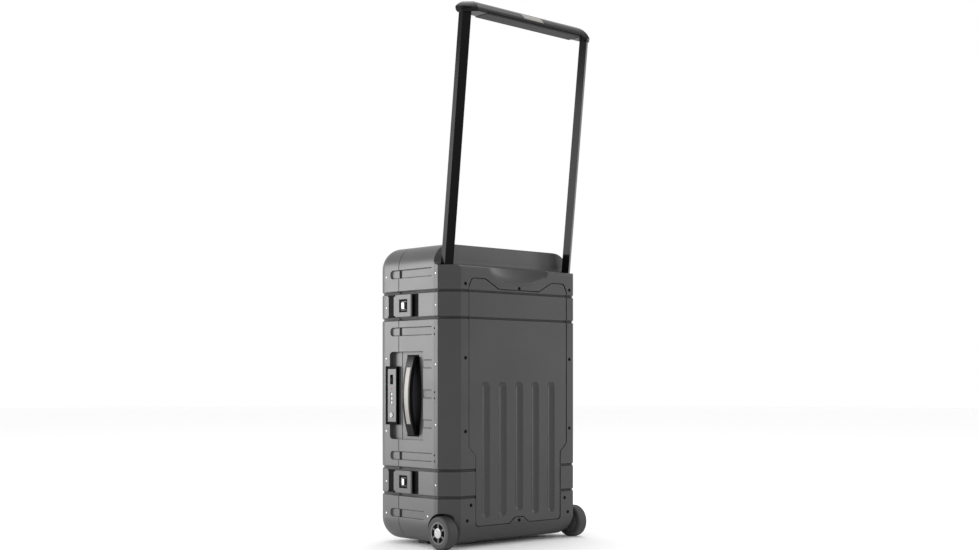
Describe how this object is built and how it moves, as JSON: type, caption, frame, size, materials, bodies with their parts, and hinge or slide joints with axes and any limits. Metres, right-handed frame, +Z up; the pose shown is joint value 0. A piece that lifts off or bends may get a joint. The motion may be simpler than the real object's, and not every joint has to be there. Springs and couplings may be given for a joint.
{
  "type": "hard equipment case",
  "caption": "Wheeled hard-shell carry-on case with hinged lid, twin latches, combination lock, sprung side handle and telescopic trolley handle.",
  "frame": {"origin": "on the floor, in the middle of the space the case takes with its trolley handle out", "axes": "+Z up; the lid faces -Y and the fluted back panel, wheels and trolley are at +Y; the latches and side handle are at +X and the hinges at -X"},
  "size_m": [0.376, 0.2574, 0.9953],
  "materials": {
    "shell": "satin dark grey",
    "frame": "satin dark grey",
    "lining": "woven lining over foam",
    "tube": "gloss black",
    "grip": "semi gloss",
    "pad": "soft",
    "tyre": "matte",
    "hub": "satin",
    "steel": "brushed",
    "chrome": "polished",
    "latch": "black",
    "lever": "satin grey",
    "badge": "satin",
    "dial": "satin pale",
    "seal": "soft"
  },
  "bodies": {
    "back_half": {"back_shell": "shell", "rear_frame": "frame", "rear_panel": "frame", "seal": "seal", "liner_back": "lining", "front_feet": "pad", "side_feet": "pad", "axle_right": "steel", "axle_left": "steel", "bush_right": "latch", "bush_left": "latch", "sleeve_right": "latch", "sleeve_left": "latch", "hinge_upper_back": "steel", "hinge_lower_back": "steel", "hinge_pins": "steel", "rivets_back": "steel", "frame_screws": "latch", "latch_keeper_upper": "latch", "latch_keeper_lower": "latch", "handle_tray": "latch"},
    "lid": {"lid_shell": "shell", "liner_lid": "lining", "hinge_upper_lid": "steel", "hinge_lower_lid": "steel", "rivets_lid": "steel", "latch_bed_upper": "latch", "latch_bed_lower": "latch", "latch_pin_upper": "steel", "latch_pin_lower": "steel", "lock_housing": "latch", "lock_plate": "lever"},
    "trolley": {"tube_right": "tube", "tube_left": "tube", "plug_right": "latch", "plug_left": "latch", "grip_shell": "grip", "grip_pad": "pad"},
    "trolley_button": {"release_button": "badge"},
    "wheel_right": {"tyre_right": "tyre", "hub_right": "hub", "hub_cap_right": "chrome"},
    "wheel_left": {"tyre_left": "tyre", "hub_left": "hub", "hub_cap_left": "chrome"},
    "latch_upper": {"latch_lever_upper": "lever"},
    "latch_lower": {"latch_lever_lower": "lever"},
    "latch_button_upper": {"latch_button_upper": "steel"},
    "latch_button_lower": {"latch_button_lower": "steel"},
    "carry_handle": {"carry_grip": "grip", "carry_badge": "badge"},
    "dial_1": {"lock_dial_1": "dial"},
    "dial_2": {"lock_dial_2": "dial"},
    "dial_3": {"lock_dial_3": "dial"},
    "slider": {"lock_slider": "latch"},
    "key_cylinder": {"lock_key": "chrome"}
  },
  "joints": [
    {"name": "lid_hinge", "type": "hinge", "parent": "back_half", "child": "lid", "pos_m": [-0.1788, -0.06109, 0.283], "axis": [0, 0, -1], "range_deg": [0, 100]},
    {"name": "trolley_slide", "type": "slide", "parent": "back_half", "child": "trolley", "axis": [0, 0.1097, 0.994], "range_m": [-0.439, 0]},
    {"name": "trolley_release", "type": "slide", "parent": "trolley", "child": "trolley_button", "axis": [0, -1, 0], "range_m": [0, 0.003], "stiffness_N_per_m": 400},
    {"name": "wheel_right_spin", "type": "hinge", "parent": "back_half", "child": "wheel_right", "pos_m": [0.1685, 0.05691, 0.0307], "axis": [1, 0, 0], "continuous": true},
    {"name": "wheel_left_spin", "type": "hinge", "parent": "back_half", "child": "wheel_left", "pos_m": [-0.1685, 0.05691, 0.0307], "axis": [1, 0, 0], "continuous": true},
    {"name": "carry_handle_pull", "type": "slide", "parent": "back_half", "child": "carry_handle", "axis": [1, 0, 0], "range_m": [0, 0.01], "stiffness_N_per_m": 300},
    {"name": "latch_upper_swing", "type": "hinge", "parent": "lid", "child": "latch_upper", "pos_m": [0.1782, -0.06909, 0.4469], "axis": [0, 0, -1], "range_deg": [0, 70]},
    {"name": "latch_upper_press", "type": "slide", "parent": "latch_upper", "child": "latch_button_upper", "axis": [-1, 0, 0], "range_m": [0, 0.0015], "stiffness_N_per_m": 300},
    {"name": "latch_lower_swing", "type": "hinge", "parent": "lid", "child": "latch_lower", "pos_m": [0.1782, -0.06909, 0.1191], "axis": [0, 0, -1], "range_deg": [0, 70]},
    {"name": "latch_lower_press", "type": "slide", "parent": "latch_lower", "child": "latch_button_lower", "axis": [-1, 0, 0], "range_m": [0, 0.0015], "stiffness_N_per_m": 300},
    {"name": "dial_1_turn", "type": "hinge", "parent": "lid", "child": "dial_1", "pos_m": [0.1717, -0.08459, 0.2662], "axis": [0, 0, 1], "continuous": true},
    {"name": "dial_2_turn", "type": "hinge", "parent": "lid", "child": "dial_2", "pos_m": [0.1717, -0.08459, 0.274], "axis": [0, 0, 1], "continuous": true},
    {"name": "dial_3_turn", "type": "hinge", "parent": "lid", "child": "dial_3", "pos_m": [0.1717, -0.08459, 0.2818], "axis": [0, 0, 1], "continuous": true},
    {"name": "slider_move", "type": "slide", "parent": "lid", "child": "slider", "axis": [0, 0, 1], "range_m": [0, 0.004], "stiffness_N_per_m": 200},
    {"name": "key_turn", "type": "hinge", "parent": "lid", "child": "key_cylinder", "pos_m": [0.176, -0.08459, 0.2425], "axis": [1, 0, 0], "range_deg": [0, 90]}
  ]
}
